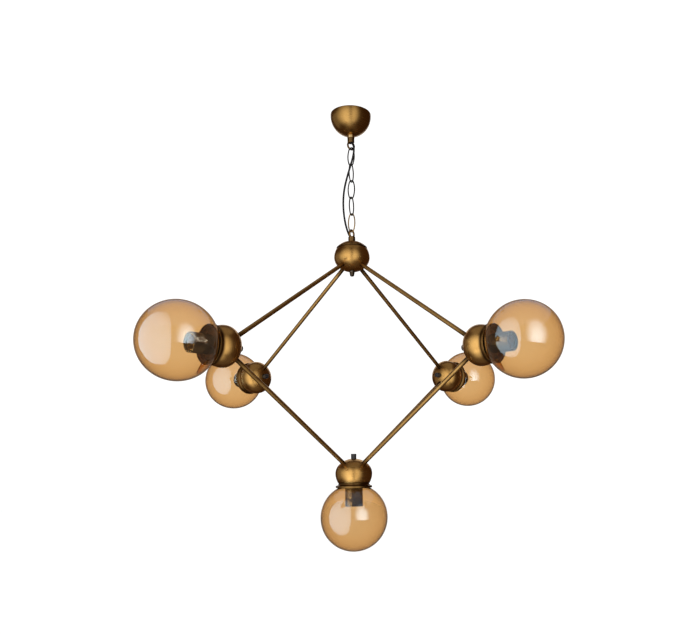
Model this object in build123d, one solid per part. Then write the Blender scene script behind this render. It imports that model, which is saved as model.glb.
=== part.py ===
from build123d import *
import os
from math import acos, asin, atan2, cos, degrees, hypot, pi, radians, sin, sqrt, tan

# Five-globe ceiling lamp on a chain. Millimetres, +Z up.
# The origin is on the ceiling, on the lamp's axis, and everything hangs below it.

# Clearances
MOVING_GAP = 0.3      # between pieces of bodies that move on each other
HOLE_FIT = 0.2        # round a tube or rod in a plain hole
FLEX_FIT = 0.4        # round the flex in an arm

# Spun brass
SHEET = 1.2

# Threaded hollow rod, used in the canopy, the hub and the lamps
ROD_RADIUS = 5.0
ROD_BORE_RADIUS = 3.2
ROD_NUT_WALL = 2.0    # thread to the nut's flats
ROD_NUT_HEIGHT = 5.0
ROD_GRIP = 5.0        # length of thread in a loop or a finial

# Ceiling strap
STRAP_END_GAP = 3.8   # strap to the canopy's inner wall
STRAP_WIDTH = 20.0
STRAP_THICK = 2.5
STRAP_HOLE_RADIUS = 2.75
STRAP_HOLE_INSET = 9.0
CEILING_RELIEF = 0.5  # the rod's top end lies this far below the ceiling

# Terminal block under the strap
TERMINAL_LENGTH = 16.0
TERMINAL_WIDTH = 15.0
TERMINAL_HEIGHT = 11.0
TERMINAL_NUT_GAP = 1.5
TERMINAL_SCREW_RADIUS = 1.6
TERMINAL_SCREW_DEPTH = 5.0
TERMINAL_SCREW_INSET = 3.8

# Canopy cup and its collar nut
CANOPY_RADIUS = 48.0
CANOPY_SKIRT = 4.0
COLLAR_WALL = 3.8
COLLAR_HEIGHT = 7.0
COLLAR_EDGE = 1.4

# Cast loops
LOOP_BASE_WALL = 3.25     # round the rod
LOOP_BASE_HEIGHT = 12.0
LOOP_RING_RADIUS = 9.0    # to the middle of the ring's wire
LOOP_WIRE_RADIUS = 2.25

# Chain
LINK_COUNT = 5
LINK_LENGTH = 47.0        # outside
LINK_WIRE_RADIUS = 1.5
LINK_CROWN_RADIUS = 6.0   # to the middle of the wire
LINK_BULGE = 3.0          # sides past the crowns
CHAIN_TURN = 11.0         # degrees from X to the width of the even links

# Supply cord
CORD_RADIUS = 2.3
CORD_ARC_SHARE = 0.45     # of the shorter run beside an arc
CORD_INSIDE = 10.0        # length in each rod, up to the bend
CORD_ELBOW = 2.0          # rod end to the bend in a loop's base
BUSH_WALL = 0.6
BUSH_OFFSET = 3.2         # from the bend
BUSH_LENGTH = 3.5
# Points from bend to bend, as (across the odd links, across the even links, height)
CORD_POINTS = [
    (-5.6, -1.0, -74.4),
    (-10.8, -4.0, -83.5),
    (-13.2, -7.5, -97.0),
    (-12.8, -11.0, -112.0),
    (-10.2, -14.2, -127.0),
    (-6.3, -16.2, -141.5),
    (-1.2, -16.6, -156.0),
    (5.5, -15.6, -173.0),
    (12.0, -13.0, -190.0),
    (16.6, -9.6, -208.0),
    (18.6, -7.0, -227.0),
    (17.8, -5.6, -247.0),
    (14.6, -5.4, -266.0),
    (10.4, -4.9, -282.0),
    (5.8, -2.8, -297.0),
]

# Balls of the frame
BALL_RADIUS = 41.5
BALL_POLE = 33.0          # centre to the closed end
BALL_CUT = 22.0           # centre to the open end
CORNER_REACH = 355.0      # lamp's axis to the corner balls
FRAME_HALF_HEIGHT = 250.0  # corner balls to the hub, and to the bottom ball

# Hub lid, finial and junction block
LID_LIP = 0.8             # lid past the ball's open end
LID_RIM_HEIGHT = 1.6
LID_HEIGHT = 16.8         # above the ball's open end
FINIAL_WALL = 1.5         # round the rod, at the top
FINIAL_END_RADIUS = 4.8
FINIAL_LENGTH = 11.5
FINIAL_ROUNDING = 2.0
JUNCTION_LENGTH = 22.0
JUNCTION_WIDTH = 10.0
JUNCTION_HEIGHT = 12.0

# Arms
ARM_RADIUS = 4.75
ARM_WALL = 1.0
ARM_NUT_WALL = 2.0        # thread to the nut's flats
ARM_NUT_HEIGHT = 4.0
ARM_NUT_RELIEF = 3.1      # nut to the ball's inner wall, along the arm
ARM_END = 1.0             # arm past its nut
FLEX_END = 1.5            # flex past the arm

# Gallery dishes
GALLERY_GROOVE = 0.7      # dish floor inside the ball's open end
GALLERY_FLARE = 6.5       # rim past the floor
GALLERY_DEPTH = 10.0
GALLERY_BAND = 4.2        # straight part of the rim
GRUB_RADIUS = 1.25
GRUB_EDGE = 0.1           # grub screw to the end of the straight part
GRUB_COUNT = 3
GRUB_TURN = 45.0

# Glass globes
GLOBE_RADIUS = 75.0
GLASS = 2.0
NECK_FIT = 0.8            # neck to the dish

# Lampholders
HOLDER_WALL = 3.75
HOLDER_LENGTH = 45.3
HOLDER_BASE = 8.0
HOLDER_EDGE = 0.8
SCREW_SHELL_BORE_RADIUS = 13.3
SCREW_SHELL_WALL = 2.7
SCREW_SHELL_RECESS = 5.0
SCREW_SHELL_SEAT = 1.4    # width of the step that the shell stands on
CONTACT_LIP = 1.0         # contact past the rod
CONTACT_HEIGHT = 2.5
CONTACT_GAP = 0.5         # contact to the shell's foot, along the lamp

# Pole caps
CAP_WALL = 1.1            # round the rod
CAP_LENGTH = 11.0
CAP_END = 3.0
CAP_EDGE = 0.6

# Places worked out from the sizes above
ROD_HOLE_RADIUS = ROD_RADIUS + HOLE_FIT
ROD_NUT_FLATS = 2 * (ROD_RADIUS + ROD_NUT_WALL)
ROD_NUT_CORNER = ROD_NUT_FLATS / sqrt(3)
STRAP_LENGTH = 2 * (CANOPY_RADIUS - SHEET - STRAP_END_GAP)
LOOP_BASE_RADIUS = ROD_RADIUS + LOOP_BASE_WALL
CANOPY_POLE_Z = -(CANOPY_SKIRT + CANOPY_RADIUS)
CANOPY_SEAT_Z = -CANOPY_SKIRT - sqrt(CANOPY_RADIUS**2 - ROD_HOLE_RADIUS**2)
CANOPY_LOOP_Z = CANOPY_SEAT_Z - COLLAR_HEIGHT
LOOP_EYE_RADIUS = LOOP_RING_RADIUS - LOOP_WIRE_RADIUS
LOOP_RING_CENTRE = LOOP_BASE_HEIGHT + LOOP_EYE_RADIUS
LINK_HALF = LINK_LENGTH / 2 - LINK_WIRE_RADIUS
LINK_PITCH = 2 * LINK_HALF - 2 * LINK_WIRE_RADIUS - MOVING_GAP
FIRST_HINGE_Z = CANOPY_LOOP_Z - LOOP_RING_CENTRE - LOOP_RING_RADIUS
FIRST_LINK_Z = FIRST_HINGE_Z + LOOP_WIRE_RADIUS + MOVING_GAP + LINK_WIRE_RADIUS - LINK_HALF
LAST_LINK_Z = FIRST_LINK_Z - (LINK_COUNT - 1) * LINK_PITCH
HUB_RING_TOP = LAST_LINK_Z - LINK_HALF + LINK_WIRE_RADIUS + MOVING_GAP + LOOP_WIRE_RADIUS
LID_TOP_Z = HUB_RING_TOP - LOOP_RING_RADIUS - LOOP_RING_CENTRE
HUB_Z = LID_TOP_Z - LID_HEIGHT - BALL_CUT
CORNER_Z = HUB_Z - FRAME_HALF_HEIGHT
BOTTOM_Z = CORNER_Z - FRAME_HALF_HEIGHT
BALL_RIM = sqrt(BALL_RADIUS**2 - BALL_CUT**2)
BALL_INNER_RIM = sqrt((BALL_RADIUS - SHEET) ** 2 - BALL_CUT**2)
POLE_SEAT = BALL_POLE * sqrt(1 - (ROD_HOLE_RADIUS / BALL_RADIUS) ** 2)
GALLERY_FLOOR = BALL_CUT + SHEET
GALLERY_RIM = BALL_CUT + GALLERY_DEPTH
GALLERY_FLOOR_RADIUS = BALL_RIM - GALLERY_GROOVE
GALLERY_RIM_RADIUS = GALLERY_FLOOR_RADIUS + GALLERY_FLARE
GRUB_HEIGHT = GALLERY_RIM - GALLERY_BAND + GRUB_EDGE + GRUB_RADIUS
NECK_RADIUS = GALLERY_FLOOR_RADIUS - SHEET - NECK_FIT
GLOBE_SHOULDER = GRUB_HEIGHT + GRUB_RADIUS + MOVING_GAP
GLOBE_CENTRE = GLOBE_SHOULDER + sqrt(GLOBE_RADIUS**2 - NECK_RADIUS**2)
HOLDER_START = GALLERY_FLOOR + ROD_NUT_HEIGHT
HOLDER_CAVITY_RADIUS = SCREW_SHELL_BORE_RADIUS + SCREW_SHELL_WALL
HOLDER_RADIUS = HOLDER_CAVITY_RADIUS + HOLDER_WALL
SCREW_SHELL_FOOT = HOLDER_BASE + CONTACT_HEIGHT + CONTACT_GAP
ARM_BORE_RADIUS = ARM_RADIUS - ARM_WALL
BUSH_BORE_RADIUS = CORD_RADIUS + MOVING_GAP
BUSH_RADIUS = BUSH_BORE_RADIUS + BUSH_WALL
CORD_TOP_Z = CANOPY_LOOP_Z - ROD_GRIP - CORD_ELBOW
CORD_END_Z = LID_TOP_Z + ROD_GRIP + CORD_ELBOW

STANDING = (Align.CENTER, Align.CENTER, Align.MIN)
SIDES = {"left": (-1, 0), "front": (0, -1), "right": (1, 0), "back": (0, 1)}
FLEX_LOWER_SIDE = "back"


def turned(edges):
    """Solid of revolution about Z, from edges drawn as (radius, height)."""
    return revolve(Plane.XZ * make_face(edges), Axis.Z)


def rod(radius, height):
    return Cylinder(radius, height, align=STANDING)


def tube(radius, bore_radius, height):
    return rod(radius, height) - rod(bore_radius, height)


def hex_nut(flats, bore_radius, height):
    blank = extrude(RegularPolygon(flats / 2, 6, major_radius=False), amount=height)
    return blank - rod(bore_radius, height)


def towards(start, end):
    """Plane at start whose Z points at end."""
    return Plane(origin=start, z_dir=Vector(*end) - Vector(*start))


def group(pieces):
    return Compound([solid for piece in pieces for solid in piece.solids()])


def cord_route():
    """Corners of the cord's route, from one rod to the other."""
    turn = radians(CHAIN_TURN)
    route = [(0, 0, CORD_TOP_Z + CORD_INSIDE), (0, 0, CORD_TOP_Z)]
    for across_odd, across_even, height in CORD_POINTS:
        x = across_even * cos(turn) - across_odd * sin(turn)
        y = across_even * sin(turn) + across_odd * cos(turn)
        route.append((x, y, height))
    return route + [(0, 0, CORD_END_Z), (0, 0, CORD_END_Z - CORD_INSIDE)]


def rounded_path(points):
    """Straight runs joined by arcs, each as large as its two runs allow."""
    places = [Vector(*point) for point in points]
    radii = []
    for before, corner, after in zip(places, places[1:], places[2:]):
        turn = (corner - before).get_angle(after - corner)
        shorter = min((corner - before).length, (after - corner).length)
        radii.append(CORD_ARC_SHARE * shorter / tan(radians(turn) / 2))
    return FilletPolyline(*places, radius=radii), radii


def swept_wire(path, radius):
    return sweep(Plane(origin=path @ 0, z_dir=path % 0) * Circle(radius), path=path)


# Canopy


def ceiling_strap():
    top = (Align.CENTER, Align.CENTER, Align.MAX)
    strap = Box(STRAP_LENGTH, STRAP_WIDTH, STRAP_THICK, align=top)
    strap = strap - Pos(0, 0, -STRAP_THICK) * rod(ROD_RADIUS, STRAP_THICK)
    for side in (-1, 1):
        place = Pos(side * (STRAP_LENGTH / 2 - STRAP_HOLE_INSET), 0, -STRAP_THICK)
        strap = strap - place * rod(STRAP_HOLE_RADIUS, STRAP_THICK)
    return strap


def canopy_cup():
    inner = CANOPY_RADIUS - SHEET
    cup = turned([
        Line((CANOPY_RADIUS, 0), (CANOPY_RADIUS, -CANOPY_SKIRT)),
        CenterArc((0, -CANOPY_SKIRT), CANOPY_RADIUS, 270, 90),
        Line((0, CANOPY_POLE_Z), (0, CANOPY_POLE_Z + SHEET)),
        CenterArc((0, -CANOPY_SKIRT), inner, 270, 90),
        Line((inner, -CANOPY_SKIRT), (inner, 0)),
        Line((inner, 0), (CANOPY_RADIUS, 0)),
    ])
    return cup - Pos(0, 0, CANOPY_POLE_Z) * rod(ROD_HOLE_RADIUS, 2 * SHEET)


def canopy_tube():
    low = CANOPY_LOOP_Z - ROD_GRIP
    return Pos(0, 0, low) * tube(ROD_RADIUS, ROD_BORE_RADIUS, -CEILING_RELIEF - low)


def strap_nut():
    low = -STRAP_THICK - ROD_NUT_HEIGHT
    return Pos(0, 0, low) * hex_nut(ROD_NUT_FLATS, ROD_RADIUS, ROD_NUT_HEIGHT)


def canopy_collar():
    collar = tube(ROD_RADIUS + COLLAR_WALL, ROD_RADIUS, COLLAR_HEIGHT)
    lower_edge = collar.edges().group_by(Axis.Z)[0].sort_by(SortBy.RADIUS)[-1]
    return Pos(0, 0, CANOPY_LOOP_Z) * fillet(lower_edge, COLLAR_EDGE)


def terminal_place():
    middle = ROD_NUT_CORNER + TERMINAL_NUT_GAP + TERMINAL_LENGTH / 2
    return Pos(middle, 0, -STRAP_THICK - TERMINAL_HEIGHT)


def terminal_screw_places():
    x = TERMINAL_LENGTH / 2 - TERMINAL_SCREW_INSET
    y = TERMINAL_WIDTH / 2 - TERMINAL_SCREW_INSET
    spots = [(-x, -y), (x, -y), (x, y), (-x, y)]
    return [terminal_place() * Pos(*spot, 0) for spot in spots]


def terminal_block():
    block = terminal_place() * Box(TERMINAL_LENGTH, TERMINAL_WIDTH, TERMINAL_HEIGHT, align=STANDING)
    for place in terminal_screw_places():
        block = block - place * rod(TERMINAL_SCREW_RADIUS, TERMINAL_SCREW_DEPTH)
    return block


def terminal_screws():
    screw = rod(TERMINAL_SCREW_RADIUS, TERMINAL_SCREW_DEPTH)
    return group([place * screw for place in terminal_screw_places()])


# Loops, chain and cord


def cast_loop():
    """Loop standing on its base, ring in the XZ plane."""
    base = rod(LOOP_BASE_RADIUS, LOOP_BASE_HEIGHT)
    base = fillet(base.edges().group_by(Axis.Z)[-1], LOOP_WIRE_RADIUS)
    ring = Pos(0, 0, LOOP_RING_CENTRE) * Rot(90, 0, 0) * Torus(LOOP_RING_RADIUS, LOOP_WIRE_RADIUS)
    well = rod(ROD_BORE_RADIUS, ROD_GRIP + CORD_ELBOW)
    return base + ring - rod(ROD_RADIUS, ROD_GRIP) - well


def cord_ends():
    """Planes at the cord's two bends, Z along the way out."""
    route = cord_route()
    return towards(route[1], route[2]), towards(route[-2], route[-3])


def wireway():
    return rod(BUSH_RADIUS, LOOP_BASE_HEIGHT) + Sphere(BUSH_RADIUS)


def canopy_loop():
    loop = Pos(0, 0, CANOPY_LOOP_Z) * Rot(180, 0, CHAIN_TURN) * cast_loop()
    return loop - cord_ends()[0] * wireway()


def hub_loop():
    loop = Pos(0, 0, LID_TOP_Z) * Rot(0, 0, CHAIN_TURN) * cast_loop()
    return loop - cord_ends()[1] * wireway()


def cord_bush(end):
    bush = tube(BUSH_RADIUS, BUSH_BORE_RADIUS, BUSH_LENGTH)
    return cord_ends()[end] * Pos(0, 0, BUSH_OFFSET) * bush


def chain_link(number):
    """Oval link of four arcs. Odd links stand across the even ones."""
    crown = LINK_CROWN_RADIUS
    half_width = crown + LINK_BULGE
    crown_centre = LINK_HALF - crown
    side = (half_width**2 + crown_centre**2 - crown**2) / (2 * LINK_BULGE)
    offset = side - half_width
    lean = degrees(atan2(crown_centre, offset))
    arcs = [
        CenterArc((-offset, 0), side, -lean, 2 * lean),
        CenterArc((0, crown_centre), crown, lean, 180 - 2 * lean),
        CenterArc((offset, 0), side, 180 - lean, 2 * lean),
        CenterArc((0, -crown_centre), crown, 180 + lean, 180 - 2 * lean),
    ]
    path = Plane.XZ * Wire(arcs)
    link = swept_wire(path, LINK_WIRE_RADIUS)
    print("link volume over wire area times length",
          round(link.volume / (pi * LINK_WIRE_RADIUS**2 * path.length), 4))
    turn = CHAIN_TURN + (90 if number % 2 else 0)
    return Pos(0, 0, FIRST_LINK_Z - (number - 1) * LINK_PITCH) * Rot(0, 0, turn) * link


def supply_cord():
    path, radii = rounded_path(cord_route())
    cord = swept_wire(path, CORD_RADIUS)
    print("cord length", round(path.length, 1), "radii", [round(radius, 1) for radius in radii])
    print("cord volume over area times length",
          round(cord.volume / (pi * CORD_RADIUS**2 * path.length), 4))
    return cord


# Balls and arms


def ball_shell():
    """Ball with its closed pole towards -Z and its open end towards +Z."""
    inner = BALL_RADIUS - SHEET
    shell = turned([
        EllipticalCenterArc((0, 0), BALL_RADIUS, BALL_POLE, start_angle=270, arc_size=90),
        CenterArc((0, 0), BALL_RADIUS, 0, degrees(asin(BALL_CUT / BALL_RADIUS))),
        Line((BALL_RIM, BALL_CUT), (BALL_INNER_RIM, BALL_CUT)),
        CenterArc((0, 0), inner, 0, degrees(asin(BALL_CUT / inner))),
        EllipticalCenterArc((0, 0), inner, BALL_POLE - SHEET, start_angle=270, arc_size=90),
        Line((0, -BALL_POLE), (0, SHEET - BALL_POLE)),
    ])
    return shell - Pos(0, 0, -BALL_POLE) * rod(ROD_HOLE_RADIUS, 2 * SHEET)


def pole_side_reach(cosine):
    """Centre of a ball to its outer wall, at an angle to its pole."""
    return 1 / sqrt((cosine / BALL_POLE) ** 2 + (1 - cosine**2) / BALL_RADIUS**2)


HUB_CENTRE = (0, 0, HUB_Z)
BOTTOM_CENTRE = (0, 0, BOTTOM_Z)
CORNERS = {side: (CORNER_REACH * x, CORNER_REACH * y, CORNER_Z) for side, (x, y) in SIDES.items()}
ARM_SPAN = hypot(CORNER_REACH, FRAME_HALF_HEIGHT)
AXIS_BALL_WALL = pole_side_reach(FRAME_HALF_HEIGHT / ARM_SPAN)
CORNER_BALL_WALL = pole_side_reach(CORNER_REACH / ARM_SPAN)
NUT_DEPTH = SHEET + ARM_NUT_RELIEF + ARM_NUT_HEIGHT
ARM_INSERT = NUT_DEPTH + ARM_END


def lamp_planes():
    """Plane of each lamp ball: origin at its centre, Z along its lamp."""
    planes = {}
    for side, (x, y) in SIDES.items():
        planes[side] = Plane(origin=CORNERS[side], x_dir=(0, 0, 1), z_dir=(x, y, 0))
    planes["bottom"] = Plane(origin=BOTTOM_CENTRE, x_dir=(1, 0, 0), z_dir=(0, 0, -1))
    return planes


def drilled(ball, centre, targets):
    """Ball with a hole for each arm that goes to a target."""
    for target in targets:
        ball = ball - towards(centre, target) * rod(ARM_RADIUS + HOLE_FIT, 2 * BALL_RADIUS)
    return ball


def arm_lines():
    """Each arm's name, with its end on the lamp's axis and its corner."""
    upper = {f"upper_arm_{side}": (HUB_CENTRE, corner) for side, corner in CORNERS.items()}
    lower = {f"lower_arm_{side}": (BOTTOM_CENTRE, corner) for side, corner in CORNERS.items()}
    return upper | lower


def arm(start, end):
    first = AXIS_BALL_WALL - ARM_INSERT
    last = ARM_SPAN - CORNER_BALL_WALL + ARM_INSERT
    return towards(start, end) * Pos(0, 0, first) * tube(ARM_RADIUS, ARM_BORE_RADIUS, last - first)


def arm_nuts():
    nut = hex_nut(2 * (ARM_RADIUS + ARM_NUT_WALL), ARM_RADIUS, ARM_NUT_HEIGHT)
    nuts = []
    for start, end in arm_lines().values():
        nuts.append(towards(start, end) * Pos(0, 0, AXIS_BALL_WALL - NUT_DEPTH) * nut)
        nuts.append(towards(end, start) * Pos(0, 0, CORNER_BALL_WALL - NUT_DEPTH) * nut)
    return group(nuts)


def arm_flex():
    first = AXIS_BALL_WALL - ARM_INSERT - FLEX_END
    last = ARM_SPAN - CORNER_BALL_WALL + ARM_INSERT + FLEX_END
    flex = Pos(0, 0, first) * rod(ARM_BORE_RADIUS - FLEX_FIT, last - first)
    lines = arm_lines()
    carrying = [f"upper_arm_{side}" for side in SIDES] + [f"lower_arm_{FLEX_LOWER_SIDE}"]
    return group([towards(*lines[name]) * flex for name in carrying])


# Hub


def hub_lid():
    """Domed lid with a thick rim, drawn from the hub's centre."""
    rim_top = BALL_CUT + LID_RIM_HEIGHT
    rim = BALL_RIM + LID_LIP
    top = BALL_CUT + LID_HEIGHT
    flat = max(LOOP_BASE_RADIUS, ROD_NUT_CORNER) + SHEET / 2
    centre = (top + rim_top - (rim**2 - flat**2) / (top - rim_top)) / 2
    dome = hypot(rim, rim_top - centre)
    under = dome - SHEET
    outer_start = degrees(asin((rim_top - centre) / dome))
    outer_end = degrees(asin((top - centre) / dome))
    inner_start = degrees(acos(BALL_INNER_RIM / under))
    inner_end = degrees(asin((top - SHEET - centre) / under))
    inner_rim_top = centre + under * sin(radians(inner_start))
    under_flat = under * cos(radians(inner_end))
    return Pos(0, 0, HUB_Z) * turned([
        Line((BALL_INNER_RIM, BALL_CUT), (rim, BALL_CUT)),
        Line((rim, BALL_CUT), (rim, rim_top)),
        CenterArc((0, centre), dome, outer_start, outer_end - outer_start),
        Line((flat, top), (ROD_HOLE_RADIUS, top)),
        Line((ROD_HOLE_RADIUS, top), (ROD_HOLE_RADIUS, top - SHEET)),
        Line((ROD_HOLE_RADIUS, top - SHEET), (under_flat, top - SHEET)),
        CenterArc((0, centre), under, inner_start, inner_end - inner_start),
        Line((BALL_INNER_RIM, inner_rim_top), (BALL_INNER_RIM, BALL_CUT)),
    ])


def hub_rod():
    low = HUB_Z - POLE_SEAT - ROD_GRIP
    return Pos(0, 0, low) * tube(ROD_RADIUS, ROD_BORE_RADIUS, LID_TOP_Z + ROD_GRIP - low)


def hub_nut():
    low = LID_TOP_Z - SHEET - ROD_NUT_HEIGHT
    return Pos(0, 0, low) * hex_nut(ROD_NUT_FLATS, ROD_RADIUS, ROD_NUT_HEIGHT)


def hub_finial():
    finial = Cone(FINIAL_END_RADIUS, ROD_RADIUS + FINIAL_WALL, FINIAL_LENGTH, align=STANDING)
    finial = fillet(finial.edges().group_by(Axis.Z)[0], FINIAL_ROUNDING)
    socket = Pos(0, 0, FINIAL_LENGTH - ROD_GRIP) * rod(ROD_RADIUS, ROD_GRIP)
    return Pos(0, 0, HUB_Z - POLE_SEAT - FINIAL_LENGTH) * (finial - socket)


def junction_block():
    block = Box(JUNCTION_LENGTH, JUNCTION_WIDTH, JUNCTION_HEIGHT)
    return Pos(0, ROD_RADIUS + HOLE_FIT + JUNCTION_WIDTH / 2, HUB_Z) * block


# Lamps, drawn from the ball's centre with the lamp along +Z


def gallery_dish():
    flare_height = GALLERY_DEPTH - GALLERY_BAND
    flare_top = BALL_CUT + flare_height
    inner_rim = GALLERY_RIM_RADIUS - SHEET
    inner_floor = GALLERY_FLOOR_RADIUS - SHEET
    half_root = sqrt(0.5)
    inner_middle = (
        GALLERY_RIM_RADIUS - (GALLERY_FLARE + SHEET) * half_root,
        BALL_CUT + (flare_height + SHEET) * half_root,
    )
    dish = turned([
        Line((ROD_HOLE_RADIUS, BALL_CUT), (GALLERY_FLOOR_RADIUS, BALL_CUT)),
        EllipticalCenterArc((GALLERY_RIM_RADIUS, BALL_CUT), GALLERY_FLARE, flare_height,
                            start_angle=90, arc_size=90),
        Line((GALLERY_RIM_RADIUS, flare_top), (GALLERY_RIM_RADIUS, GALLERY_RIM)),
        Line((GALLERY_RIM_RADIUS, GALLERY_RIM), (inner_rim, GALLERY_RIM)),
        Line((inner_rim, GALLERY_RIM), (inner_rim, flare_top + SHEET)),
        ThreePointArc((inner_rim, flare_top + SHEET), inner_middle, (inner_floor, GALLERY_FLOOR)),
        Line((inner_floor, GALLERY_FLOOR), (ROD_HOLE_RADIUS, GALLERY_FLOOR)),
        Line((ROD_HOLE_RADIUS, GALLERY_FLOOR), (ROD_HOLE_RADIUS, BALL_CUT)),
    ])
    for place in grub_places():
        dish = dish - place * rod(GRUB_RADIUS, GALLERY_RIM_RADIUS)
    return dish


def grub_places():
    """Outward radial planes at the glass neck, one for each grub screw."""
    places = []
    for index in range(GRUB_COUNT):
        angle = radians(GRUB_TURN + index * 360 / GRUB_COUNT)
        outward = Vector(cos(angle), sin(angle), 0)
        start = outward * (NECK_RADIUS + MOVING_GAP) + Vector(0, 0, GRUB_HEIGHT)
        places.append(Plane(origin=start, z_dir=outward))
    return places


def gallery_grubs():
    length = GALLERY_RIM_RADIUS - NECK_RADIUS - MOVING_GAP
    return [place * rod(GRUB_RADIUS, length) for place in grub_places()]


def glass_globe():
    inner = GLOBE_RADIUS - GLASS
    inner_neck = NECK_RADIUS - GLASS
    neck_end = GALLERY_FLOOR + MOVING_GAP
    inner_shoulder = GLOBE_CENTRE - sqrt(inner**2 - inner_neck**2)
    outer_start = degrees(atan2(GLOBE_SHOULDER - GLOBE_CENTRE, NECK_RADIUS))
    inner_start = degrees(atan2(inner_shoulder - GLOBE_CENTRE, inner_neck))
    return turned([
        Line((NECK_RADIUS, neck_end), (NECK_RADIUS, GLOBE_SHOULDER)),
        CenterArc((0, GLOBE_CENTRE), GLOBE_RADIUS, outer_start, 90 - outer_start),
        Line((0, GLOBE_CENTRE + GLOBE_RADIUS), (0, GLOBE_CENTRE + inner)),
        CenterArc((0, GLOBE_CENTRE), inner, inner_start, 90 - inner_start),
        Line((inner_neck, inner_shoulder), (inner_neck, neck_end)),
        Line((inner_neck, neck_end), (NECK_RADIUS, neck_end)),
    ])


def lampholder():
    body = rod(HOLDER_RADIUS, HOLDER_LENGTH)
    body = fillet(body.edges(), HOLDER_EDGE)
    body = body - Pos(0, 0, HOLDER_BASE) * rod(HOLDER_CAVITY_RADIUS - SCREW_SHELL_SEAT, HOLDER_LENGTH)
    body = body - Pos(0, 0, SCREW_SHELL_FOOT) * rod(HOLDER_CAVITY_RADIUS, HOLDER_LENGTH)
    return Pos(0, 0, HOLDER_START) * (body - rod(ROD_RADIUS, HOLDER_BASE))


def screw_shell():
    height = HOLDER_LENGTH - SCREW_SHELL_FOOT - SCREW_SHELL_RECESS
    shell = tube(HOLDER_CAVITY_RADIUS, SCREW_SHELL_BORE_RADIUS, height)
    return Pos(0, 0, HOLDER_START + SCREW_SHELL_FOOT) * shell


def centre_contact():
    return Pos(0, 0, HOLDER_START + HOLDER_BASE) * rod(ROD_RADIUS + CONTACT_LIP, CONTACT_HEIGHT)


def pole_cap():
    cap = rod(ROD_RADIUS + CAP_WALL, CAP_LENGTH)
    cap = fillet(cap.edges().group_by(Axis.Z)[0], CAP_EDGE)
    socket = Pos(0, 0, CAP_END) * rod(ROD_RADIUS, CAP_LENGTH)
    return Pos(0, 0, -POLE_SEAT - CAP_LENGTH) * (cap - socket)


def lamp_rod():
    low = -POLE_SEAT - CAP_LENGTH + CAP_END
    return Pos(0, 0, low) * tube(ROD_RADIUS, ROD_BORE_RADIUS, HOLDER_START + HOLDER_BASE - low)


def gallery_nut():
    return Pos(0, 0, GALLERY_FLOOR) * hex_nut(ROD_NUT_FLATS, ROD_RADIUS, ROD_NUT_HEIGHT)


def model():
    """Every sub-part, by its name."""
    nodes = {
        "ceiling_strap": ceiling_strap(),
        "strap_nut": strap_nut(),
        "canopy_tube": canopy_tube(),
        "canopy_cup": canopy_cup(),
        "canopy_collar": canopy_collar(),
        "canopy_loop": canopy_loop(),
        "canopy_cord_bush": cord_bush(0),
        "terminal_block": terminal_block(),
        "terminal_screws": terminal_screws(),
        "supply_cord": supply_cord(),
        "hub_loop": hub_loop(),
        "hub_cord_bush": cord_bush(1),
        "hub_lid": hub_lid(),
        "hub_ball": drilled(Pos(*HUB_CENTRE) * ball_shell(), HUB_CENTRE, CORNERS.values()),
        "hub_rod": hub_rod(),
        "hub_nut": hub_nut(),
        "hub_finial": hub_finial(),
        "junction_block": junction_block(),
    }
    for number in range(1, LINK_COUNT + 1):
        nodes[f"chain_link_{number}"] = chain_link(number)
    for name, (start, end) in arm_lines().items():
        nodes[name] = arm(start, end)
    nodes["arm_nuts"] = arm_nuts()
    nodes["arm_flex"] = arm_flex()
    planes = lamp_planes()
    for side, plane in planes.items():
        on_axis = side == "bottom"
        centre = BOTTOM_CENTRE if on_axis else CORNERS[side]
        targets = list(CORNERS.values()) if on_axis else [HUB_CENTRE, BOTTOM_CENTRE]
        ball_name = "bottom_ball" if on_axis else f"corner_ball_{side}"
        nodes[ball_name] = drilled(plane * ball_shell(), centre, targets)
        nodes[f"gallery_{side}"] = plane * gallery_dish()
        nodes[f"globe_{side}"] = plane * glass_globe()
        nodes[f"lampholder_{side}"] = plane * lampholder()
    nodes["screw_shells"] = group([plane * screw_shell() for plane in planes.values()])
    nodes["centre_contacts"] = group([plane * centre_contact() for plane in planes.values()])
    nodes["pole_caps"] = group([plane * pole_cap() for plane in planes.values()])
    nodes["lamp_rods"] = group([plane * lamp_rod() for plane in planes.values()])
    nodes["gallery_nuts"] = group([plane * gallery_nut() for plane in planes.values()])
    nodes["gallery_grubs"] = group([plane * grub for plane in planes.values() for grub in gallery_grubs()])
    return nodes


os.makedirs("parts", exist_ok=True)
for node_name, shape in model().items():
    export_step(shape, f"parts/{node_name}.step")
print("hub", round(HUB_Z, 2), "corners", round(CORNER_Z, 2), "bottom ball", round(BOTTOM_Z, 2))
hinges = [round(FIRST_LINK_Z - LINK_HALF - index * LINK_PITCH, 3) for index in range(LINK_COUNT)]
print("hinges", round(FIRST_HINGE_Z, 3), hinges)
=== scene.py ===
import math

import bmesh
import bpy
from mathutils import Matrix, Vector


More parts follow.
